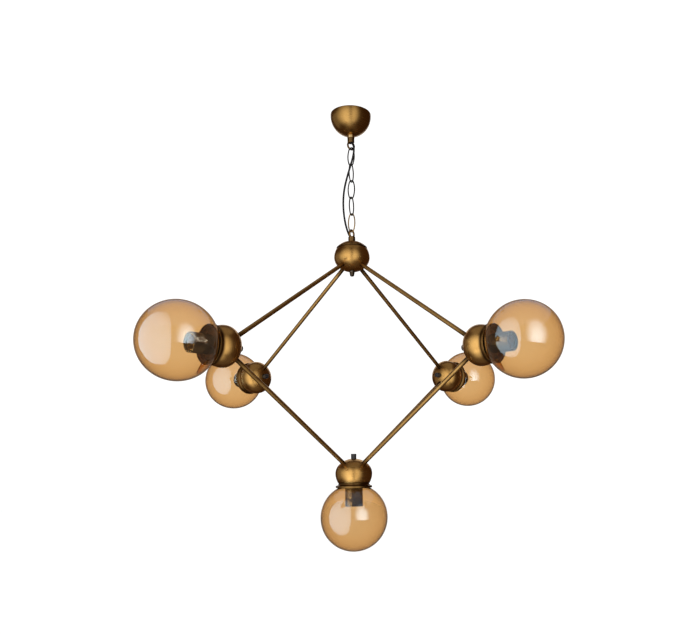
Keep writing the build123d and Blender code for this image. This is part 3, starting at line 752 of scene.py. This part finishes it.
for level in (hub_level, bottom_level):
    for corner in corners.values():
        start = Vector((0, 0, level))
        ahead = (corner - start).normalized()
        first = len(arm_points)
        arm_points += [start + ahead * stop for stop, painted_shade in arm_stops]
        arm_painted_shades += [painted_shade for stop, painted_shade in arm_stops]
        arm_edges += [(index, index + 1) for index in range(first, len(arm_points) - 1)]
arm_lines = bpy.data.meshes.new("arms_drawn")
arm_lines.from_pydata(arm_points, arm_edges, [])
painted_shade_marks = arm_lines.attributes.new("painted_shade", "FLOAT", "POINT")
painted_shade_marks.data.foreach_set("value", arm_painted_shades)
arm_source = placed("arms_drawn", arm_lines)
drawn_brass = brass_finish(
    "drawn_brass",
    bright=(0.60, 0.37, 0.125),
    dull=(0.46, 0.27, 0.085),
    rough=(0.30, 0.40),
    line_pitch=0.0040,
)
arms = grown(arm_source, arm_tree(), {"Tube radius": arm_radius, "Finish": drawn_brass})
arms.data.set_sharp_from_angle(angle=math.radians(ARM_CREASE))
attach(arms, "lamp")
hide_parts(*[f"{row}_arm_{side}" for row in ("upper", "lower") for side in sides])
clothe(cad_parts["arm_nuts"], zinc)
clothe(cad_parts["arm_flex"], black_sheath)

# Corner balls and bottom ball
# The same spun brass balls as the hub's, turned so that each opens towards its lamp.
# The arms pass through their closed halves.


def lamp_tree():
    """The same piece at all five lamps: four facing out from the corners, one facing down."""
    tree, given, result = tree_with_inputs("piece at each lamp", [
        ("Reach", "NodeSocketFloat"),
        ("Corner level", "NodeSocketFloat"),
        ("Bottom level", "NodeSocketFloat"),
        ("Finish", "NodeSocketMaterial"),
    ])
    nodes = tree.nodes
    link = tree.links.new
    back = nodes.new("ShaderNodeMath")
    back.operation = "MULTIPLY"
    back.inputs[1].default_value = -1.0
    link(given.outputs["Reach"], back.inputs[0])
    quarter = math.radians(90)
    turns = [
        ("X", back.outputs["Value"], (0, -quarter, 0)),
        ("Y", back.outputs["Value"], (quarter, 0, 0)),
        ("X", given.outputs["Reach"], (0, quarter, 0)),
        ("Y", given.outputs["Reach"], (-quarter, 0, 0)),
    ]
    together = nodes.new("GeometryNodeJoinGeometry")
    for axis, reach, turn in turns:
        spot = nodes.new("ShaderNodeCombineXYZ")
        link(reach, spot.inputs[axis])
        link(given.outputs["Corner level"], spot.inputs["Z"])
        move = nodes.new("GeometryNodeTransform")
        move.inputs["Rotation"].default_value = turn
        link(given.outputs["Geometry"], move.inputs["Geometry"])
        link(spot.outputs["Vector"], move.inputs["Translation"])
        link(move.outputs["Geometry"], together.inputs["Geometry"])
    under = nodes.new("ShaderNodeCombineXYZ")
    link(given.outputs["Bottom level"], under.inputs["Z"])
    drop = nodes.new("GeometryNodeTransform")
    drop.inputs["Rotation"].default_value = (2 * quarter, 0, 0)
    link(given.outputs["Geometry"], drop.inputs["Geometry"])
    link(under.outputs["Vector"], drop.inputs["Translation"])
    link(drop.outputs["Geometry"], together.inputs["Geometry"])
    realize = nodes.new("GeometryNodeRealizeInstances")
    finish = nodes.new("GeometryNodeSetMaterial")
    link(together.outputs["Geometry"], realize.inputs["Geometry"])
    link(realize.outputs["Geometry"], finish.inputs["Geometry"])
    link(given.outputs["Finish"], finish.inputs["Material"])
    link(finish.outputs["Geometry"], result.inputs["Geometry"])
    return tree


each_lamp = lamp_tree()


def at_each_lamp(piece, finish, slot, *nodes):
    """Five copies of a piece drawn from a ball's centre, riding on the frame of arms."""
    five = grown(piece, each_lamp, {
        "Reach": corner_reach,
        "Corner level": corner_level,
        "Bottom level": bottom_level,
        "Finish": finish,
    })
    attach(five, "lamp")
    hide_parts(*nodes)
    return five


lamp_ball = turned("lamp_balls_spun", ball_outline(), steps=144)
at_each_lamp(lamp_ball, spun_brass, "brass", *[f"corner_ball_{side}" for side in sides], "bottom_ball")

# Pole caps
# Moulded caps of glossy black plastic, with a fine groove round each.
# They are screwed on the hollow lamp rods where these come out of the balls.
CAP_RADIUS = 0.0061
CAP_LENGTH = 0.0110
CAP_EDGE = 0.0006
GROOVE_NEAR = 0.0027
GROOVE_FAR = 0.0040
GROOVE_DEPTH = 0.0003
black_gloss = moulded_plastic(
    "black_gloss",
    tone=(0.010, 0.010, 0.011),
    second_tone=(0.016, 0.015, 0.015),
    rough=0.16,
    grain_size=0.0015,
    grain_depth=0.00005,
)
cap_seat = -BALL_POLE * math.sqrt(1 - (rod_hole / ball_radius) ** 2)
cap_end = cap_seat - CAP_LENGTH
cap_outline = [(0.0, cap_end)]
cap_outline += arc((CAP_RADIUS - CAP_EDGE, cap_end + CAP_EDGE), CAP_EDGE, -90, 0, steps=6)
cap_outline += [
    (CAP_RADIUS, cap_seat - GROOVE_FAR),
    (CAP_RADIUS - GROOVE_DEPTH, cap_seat - GROOVE_FAR + GROOVE_DEPTH),
    (CAP_RADIUS - GROOVE_DEPTH, cap_seat - GROOVE_NEAR - GROOVE_DEPTH),
    (CAP_RADIUS, cap_seat - GROOVE_NEAR),
    (CAP_RADIUS, cap_seat),
    (0.0, cap_seat),
]
pole_cap = turned("pole_caps_turned", cap_outline, steps=64, closed=False)
at_each_lamp(pole_cap, black_gloss, "black_plastic", "pole_caps")
clothe(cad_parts["lamp_rods"], zinc)

# Gallery dishes
# Shallow spun brass dishes between each ball and its globe, with a flared side and a straight rim.
# A nut on the lamp rod holds each, and three headless screws through its rim hold the glass by its neck.
GALLERY_DEPTH = 0.010
GALLERY_BAND = 0.0042
GALLERY_FLARE = 0.0065
# Painted shade on the outer flare next to the ball, on the rim, and over the inside that faces the globe.
FLARE_PAINTED_SHADE = 0.75
RIM_PAINTED_SHADE = 0.65
INSIDE_PAINTED_SHADE = 0.8
gallery_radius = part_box("gallery_bottom")[1].x
gallery_floor = gallery_radius - GALLERY_FLARE
gallery_top = BALL_CUT + GALLERY_DEPTH
flare_height = GALLERY_DEPTH - GALLERY_BAND
edge = SHEET / 2
flare = oval_arc(GALLERY_FLARE, flare_height, 180, 90, steps=20)
gallery_rim = arc((gallery_radius - edge, gallery_top - edge), edge, 0, 180, steps=10)
inner_flare = oval_arc(GALLERY_FLARE + SHEET, flare_height + SHEET, 98, 171, steps=20)
dish_outline = [(rod_hole, BALL_CUT)]
dish_outline += [(gallery_radius + x, BALL_CUT + z, FLARE_PAINTED_SHADE) for x, z in flare]
dish_outline += [(radius, z, RIM_PAINTED_SHADE) for radius, z in gallery_rim]
dish_outline += [(gallery_radius + x, BALL_CUT + z, INSIDE_PAINTED_SHADE) for x, z in inner_flare]
dish_outline += [(rod_hole, BALL_CUT + SHEET, INSIDE_PAINTED_SHADE)]
lamps = [*sides, "bottom"]
dish = turned("gallery_dishes_spun", dish_outline, steps=144)
at_each_lamp(dish, spun_brass, "brass", *[f"gallery_{lamp}" for lamp in lamps])
clothe(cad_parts["gallery_nuts"], zinc)
clothe(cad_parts["gallery_grubs"], dark_bronze)

# Lampholders
# Moulded holders with a dark mirror plating, each on a rod that passes through the gallery.
# Inside each is a threaded brass shell, and a sprung contact at the bottom.
HOLDER_BASE = 0.008
HOLDER_EDGE = 0.0008
HOLDER_CAVITY = 0.016
MOUTH_EDGE = 0.0006
SHELL_SEAT = 0.0014
SHELL_GAP = 0.0005
holder_low, holder_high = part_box("lampholder_right")
holder_start = holder_low.x - corner_reach
holder_mouth = holder_high.x - corner_reach
holder_radius = holder_high.y
holder_side = holder_radius - HOLDER_EDGE
contact_start = holder_start + HOLDER_BASE
contact_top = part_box("centre_contacts")[1].x - corner_reach
shell_start = contact_top + SHELL_GAP
rod_radius = rod_hole - HOLE_EASE
holder_outline = [(rod_radius, holder_start)]
holder_outline += arc((holder_side, holder_start + HOLDER_EDGE), HOLDER_EDGE, -90, 0, steps=8)
holder_outline += arc((holder_side, holder_mouth - HOLDER_EDGE), HOLDER_EDGE, 0, 90, steps=8)
holder_outline += [
    (HOLDER_CAVITY + MOUTH_EDGE, holder_mouth),
    (HOLDER_CAVITY, holder_mouth - MOUTH_EDGE),
    (HOLDER_CAVITY, shell_start),
    (HOLDER_CAVITY - SHELL_SEAT, shell_start),
    (HOLDER_CAVITY - SHELL_SEAT, contact_start),
    (rod_radius, contact_start),
]
dark_plate = plated_steel("dark_plate", tone=(0.20, 0.20, 0.195), dark_tone=(0.15, 0.15, 0.145), rough=0.15)
holder = turned("lampholders_moulded", holder_outline, steps=96)
holders = at_each_lamp(holder, dark_plate, "plated_plastic", *[f"lampholder_{lamp}" for lamp in lamps])

SHELL_BORE = 0.0133
SHELL_RECESS = 0.005
SHELL_STEPS = 90
SHELL_MARGIN = 0.001
THREAD_PITCH = 0.0036
THREAD_DEPTH = 0.0005
shell_stop = holder_mouth - SHELL_RECESS
shell_outline = [(HOLDER_CAVITY, shell_stop), (HOLDER_CAVITY, shell_start)]
for step in range(SHELL_STEPS + 1):
    shell_outline.append((SHELL_BORE, shell_start + (shell_stop - shell_start) * step / SHELL_STEPS))
shell = turned("screw_shells_rolled", shell_outline, steps=96)
for vert in shell.data.vertices:
    x, y, z = vert.co
    on_bore = math.hypot(x, y) < HOLDER_CAVITY - SHELL_MARGIN
    if on_bore and shell_start + SHELL_MARGIN < z < shell_stop - SHELL_MARGIN:
        wave = math.sin(2 * math.pi * z / THREAD_PITCH - math.atan2(y, x))
        swell = 1 + THREAD_DEPTH * (1 + wave) / 2 / SHELL_BORE
        vert.co = (x * swell, y * swell, z)
plain_brass = brass_finish(
    "plain_brass",
    bright=(0.82, 0.62, 0.30),
    dull=(0.66, 0.46, 0.20),
    rough=(0.22, 0.34),
    line_pitch=0.0004,
)
at_each_lamp(shell, plain_brass, "contact_brass", "screw_shells")

CONTACT_LAP = 0.001
CONTACT_FLANGE = 0.001
contact_radius = rod_radius + CONTACT_LAP
contact_dome = oval_arc(contact_radius, contact_top - contact_start - CONTACT_FLANGE, 0, 90, steps=16)
contact_outline = [(0.0, contact_start), (contact_radius, contact_start)]
contact_outline += [(radius, contact_start + CONTACT_FLANGE + height) for radius, height in contact_dome[:-1]]
contact_outline += [(0.0, contact_top)]
contact = turned("centre_contacts_pressed", contact_outline, steps=48, closed=False)
at_each_lamp(contact, plain_brass, "contact_brass", "centre_contacts")

# Glass globes
# Mouth-blown amber balls with a short ground neck that stands in the gallery.
# Each slides off along its own axis once its screws are slackened.
GLASS = 0.002
NECK_EASE = 0.0008
globe_low, globe_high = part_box("globe_right")
globe_radius = globe_high.y
globe_centre = globe_high.x - corner_reach - globe_radius
neck_end = globe_low.x - corner_reach
neck_radius = gallery_floor - SHEET - NECK_EASE
neck_angle = -math.degrees(math.acos(neck_radius / globe_radius))
inner_globe = globe_radius - GLASS
inner_neck = neck_radius - GLASS
inner_neck_angle = -math.degrees(math.acos(inner_neck / inner_globe))
lip = GLASS / 2
globe_outline = arc((0, globe_centre), globe_radius, 90, neck_angle, steps=96)
globe_outline += arc((neck_radius - lip, neck_end + lip), lip, 0, -180, steps=12)
globe_outline += arc((0, globe_centre), inner_globe, inner_neck_angle, 90, steps=96)


def blown_glass():
    """Amber glass: clear, faintly uneven, and coloured by its own thickness."""
    glass, nodes, link, shader = bare_finish("amber_glass")
    shader.inputs["Base Color"].default_value = (1.0, 0.97, 0.93, 1.0)
    shader.inputs["Roughness"].default_value = 0.0
    shader.inputs["IOR"].default_value = 1.5
    shader.inputs["Transmission Weight"].default_value = 1.0
    place = nodes.new("ShaderNodeTexCoord")
    waves = nodes.new("ShaderNodeTexNoise")
    waves.inputs["Scale"].default_value = 22.0
    waves.inputs["Detail"].default_value = 1.0
    bump = nodes.new("ShaderNodeBump")
    bump.inputs["Strength"].default_value = 0.05
    bump.inputs["Distance"].default_value = 0.001
    link(place.outputs["Object"], waves.inputs["Vector"])
    link(waves.outputs["Fac"], bump.inputs["Height"])
    link(bump.outputs["Normal"], shader.inputs["Normal"])
    colour = nodes.new("ShaderNodeVolumeAbsorption")
    colour.inputs["Color"].default_value = (0.785, 0.51, 0.02, 1.0)
    colour.inputs["Density"].default_value = 440.0
    link(colour.outputs["Volume"], nodes["Material Output"].inputs["Volume"])
    return glass


amber_glass = blown_glass()
globes = []
for lamp, axis in {**sides, "bottom": (0, 0, -1)}.items():
    centre = corners.get(lamp, Vector((0, 0, bottom_level)))
    globe = turned(f"globe_{lamp}_blown", globe_outline, steps=144, closed=False)
    outward = Vector((0, 0, 1)).rotation_difference(Vector(axis)).to_matrix().to_4x4()
    globe.data.transform(Matrix.Translation(centre) @ outward)
    clothe(globe, amber_glass)
    globe.visible_shadow = False
    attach(globe, f"globe_{lamp}")
    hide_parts(f"globe_{lamp}")
    globes.append(globe)

# Studio
# A plain pale floor and surround. Panels light the metal, windows the globes, and side lights the holders.
# The camera stands below the lamp's middle and looks slightly up at it.
FLOOR_LEVEL = -2.45
FLOOR_HALF = 30.0
floor_mesh = bpy.data.meshes.new("floor")
floor_corners = [
    (-FLOOR_HALF, -FLOOR_HALF, FLOOR_LEVEL),
    (FLOOR_HALF, -FLOOR_HALF, FLOOR_LEVEL),
    (FLOOR_HALF, FLOOR_HALF, FLOOR_LEVEL),
    (-FLOOR_HALF, FLOOR_HALF, FLOOR_LEVEL),
]
floor_mesh.from_pydata(floor_corners, [], [(0, 1, 2, 3)])
floor = placed("floor", floor_mesh)
pale_floor = bare_finish("pale_floor")[0]
floor_shader = pale_floor.node_tree.nodes["Principled BSDF"]
floor_shader.inputs["Base Color"].default_value = (0.99, 0.99, 0.99, 1.0)
floor_shader.inputs["Roughness"].default_value = 0.9
clothe(floor, pale_floor)
floor.visible_glossy = False

CAMERA_PLACE = Vector((-1.1527, -1.1387, -0.8297))
SENSOR_WIDTH = 36.0
FOCAL_PIXELS = 709.4
PICTURE_WIDTH = 700
MIDDLE_SHIFT = (51.7, 64.8)
camera_azimuth = math.radians(-45.35)
camera_pan = math.radians(3.95)
camera_pitch = math.radians(6.50)
camera_roll = math.radians(-0.95)
up = Vector((0, 0, 1))
level_ahead = Vector((-math.sin(camera_azimuth), math.cos(camera_azimuth), 0))
level_right = Vector((math.cos(camera_azimuth), math.sin(camera_azimuth), 0))
panned_ahead = level_ahead * math.cos(camera_pan) + level_right * math.sin(camera_pan)
panned_right = level_right * math.cos(camera_pan) - level_ahead * math.sin(camera_pan)
ahead = panned_ahead * math.cos(camera_pitch) + up * math.sin(camera_pitch)
pitched_up = up * math.cos(camera_pitch) - panned_ahead * math.sin(camera_pitch)
right = panned_right * math.cos(camera_roll) + pitched_up * math.sin(camera_roll)
above = pitched_up * math.cos(camera_roll) - panned_right * math.sin(camera_roll)
camera_data = bpy.data.cameras.new("camera")
camera_data.sensor_width = SENSOR_WIDTH
camera_data.lens = SENSOR_WIDTH * FOCAL_PIXELS / PICTURE_WIDTH
camera_data.shift_x = -MIDDLE_SHIFT[0] / PICTURE_WIDTH
camera_data.shift_y = MIDDLE_SHIFT[1] / PICTURE_WIDTH
camera = placed("camera", camera_data)
camera_turn = Matrix((right, above, -ahead)).transposed()
camera.matrix_world = Matrix.Translation(CAMERA_PLACE) @ camera_turn.to_4x4()
scene.camera = camera


def panel(name, bearing, rise, distance, size, brightness, tint=(1.0, 1.0, 1.0)):
    """Soft panel light that faces the lamp's middle. Bearing counts from the camera's side, to the right."""
    width, height = size
    middle = Vector((0, 0, corner_level))
    towards = -level_ahead * math.cos(math.radians(bearing)) + level_right * math.sin(math.radians(bearing))
    towards = towards * math.cos(math.radians(rise)) + up * math.sin(math.radians(rise))
    light = bpy.data.lights.new(name, "AREA")
    light.shape = "RECTANGLE"
    light.size = width
    light.size_y = height
    light.color = tint
    light.energy = brightness * math.pi * width * height
    board = placed(name, light)
    facing = towards.to_track_quat("Z", "Y").to_matrix().to_4x4()
    board.matrix_world = Matrix.Translation(middle + towards * distance) @ facing
    board.visible_camera = False
    board.visible_transmission = False
    return board


def faded(board, centre, reach):
    """Light that is full near a centre and fades out to an oval reach, both in parts of the panel's sides."""
    board.data.use_nodes = True
    nodes = board.data.node_tree.nodes
    link = board.data.node_tree.links.new
    place = nodes.new("ShaderNodeNewGeometry")
    offset = nodes.new("ShaderNodeVectorMath")
    offset.operation = "SUBTRACT"
    offset.inputs[1].default_value = (*centre, 0.0)
    share = nodes.new("ShaderNodeVectorMath")
    share.operation = "DIVIDE"
    share.inputs[1].default_value = (*reach, 1.0)
    away = nodes.new("ShaderNodeVectorMath")
    away.operation = "LENGTH"
    fall = nodes.new("ShaderNodeMapRange")
    fall.interpolation_type = "SMOOTHSTEP"
    fall.inputs["From Min"].default_value = 0.1
    fall.inputs["To Min"].default_value = 1.0
    fall.inputs["To Max"].default_value = 0.0
    link(place.outputs["Parametric"], offset.inputs[0])
    link(offset.outputs["Vector"], share.inputs[0])
    link(share.outputs["Vector"], away.inputs[0])
    link(away.outputs["Value"], fall.inputs["Value"])
    link(fall.outputs["Result"], nodes["Emission"].inputs["Strength"])


WINDOW_TINT = (0.60, 0.84, 1.0)
BRIGHT_WINDOW_TINT = (0.72, 0.91, 1.0)
SKY_TINT = (0.35, 0.65, 1.0)
WARM_TINT = (1.0, 0.75, 0.40)
COOL_TINT = (0.70, 0.80, 1.0)
panel_left = panel("panel_left", bearing=-49, rise=0, distance=2.0, size=(4.0, 4.8), brightness=1.45)
panel_front = panel("panel_front", bearing=31, rise=0, distance=2.0, size=(2.0, 4.8), brightness=1.20)
panel_far_left = panel("panel_far_left", bearing=-100, rise=0, distance=2.6, size=(2.6, 2.6), brightness=0.18)
panel_back = panel("panel_back", bearing=180, rise=25, distance=2.8, size=(2.4, 2.0), brightness=0.7)
panel_top = panel("panel_top", bearing=0, rise=82, distance=2.2, size=(2.4, 2.4), brightness=0.2)
panel_low = panel("panel_low", bearing=0, rise=-80, distance=1.6, size=(2.4, 2.4), brightness=0.06)
panel_under = panel("panel_under", bearing=-22, rise=-56, distance=2.0, size=(2.0, 2.0), brightness=0.75)
window_left = panel("window_left", bearing=-52, rise=0, distance=1.5, size=(2.7, 4.6),
                    brightness=4.9, tint=WINDOW_TINT)
window_right = panel("window_right", bearing=27, rise=15, distance=2.0, size=(2.4, 2.3),
                     brightness=12.5, tint=BRIGHT_WINDOW_TINT)
window_top = panel("window_top", bearing=0, rise=82, distance=1.8, size=(5.0, 5.0),
                   brightness=0.7, tint=SKY_TINT)
window_left.data.shape = "ELLIPSE"
side_left = panel("side_left", bearing=-70, rise=5, distance=1.6, size=(2.6, 3.0),
                  brightness=14.0, tint=WARM_TINT)
side_right = panel("side_right", bearing=78, rise=28, distance=1.6, size=(2.0, 2.0),
                   brightness=6.0, tint=COOL_TINT)
faded(panel_left, centre=(0.74, 0.42), reach=(0.75, 0.75))
faded(panel_front, centre=(0.20, 0.42), reach=(0.80, 0.75))
faded(panel_under, centre=(0.5, 0.7), reach=(0.6, 0.8))
faded(window_left, centre=(0.5, 0.4), reach=(1.2, 0.75))
faded(window_right, centre=(0.5, 0.22), reach=(0.5, 0.78))
faded(side_left, centre=(0.5, 0.5), reach=(0.7, 0.7))
faded(side_right, centre=(0.5, 0.5), reach=(0.7, 0.7))

lit_by_windows = bpy.data.collections.new("lit_by_windows")
unlit_by_panels = bpy.data.collections.new("unlit_by_panels")
lit_by_sides = bpy.data.collections.new("lit_by_sides")
for globe in globes:
    lit_by_windows.objects.link(globe)
    unlit_by_panels.objects.link(globe)
for member in unlit_by_panels.collection_objects:
    member.light_linking.link_state = "EXCLUDE"
lit_by_sides.objects.link(holders)
for board in (panel_left, panel_front, panel_far_left, panel_back, panel_top, panel_low, panel_under):
    board.light_linking.receiver_collection = unlit_by_panels
for board in (window_left, window_right, window_top):
    board.light_linking.receiver_collection = lit_by_windows
for board in (side_left, side_right):
    board.data.cycles.use_multiple_importance_sampling = False
    board.light_linking.receiver_collection = lit_by_sides

surround = bpy.data.worlds.new("surround")
surround.use_nodes = True
scene.world = surround
world_nodes = surround.node_tree.nodes
world_link = surround.node_tree.links.new
seen = world_nodes["Background"]
seen.inputs["Color"].default_value = (1.0, 1.0, 1.0, 1.0)
seen.inputs["Strength"].default_value = 1.12
in_metal = world_nodes.new("ShaderNodeBackground")
in_metal.inputs["Color"].default_value = (0.055, 0.026, 0.012, 1.0)
in_glass = world_nodes.new("ShaderNodeBackground")
in_glass.inputs["Color"].default_value = (0.34, 0.25, 0.17, 1.0)
path = world_nodes.new("ShaderNodeLightPath")
mirrored = world_nodes.new("ShaderNodeMixShader")
pick = world_nodes.new("ShaderNodeMixShader")
world_link(path.outputs["Glossy Depth"], pick.inputs["Fac"])
world_link(seen.outputs["Background"], pick.inputs[1])
world_link(path.outputs["Is Singular Ray"], mirrored.inputs["Fac"])
world_link(in_metal.outputs["Background"], mirrored.inputs[1])
world_link(in_glass.outputs["Background"], mirrored.inputs[2])
world_link(mirrored.outputs["Shader"], pick.inputs[2])
world_link(pick.outputs["Shader"], world_nodes["World Output"].inputs["Surface"])
scene.view_settings.view_transform = "Standard"

bpy.context.view_layer.update()
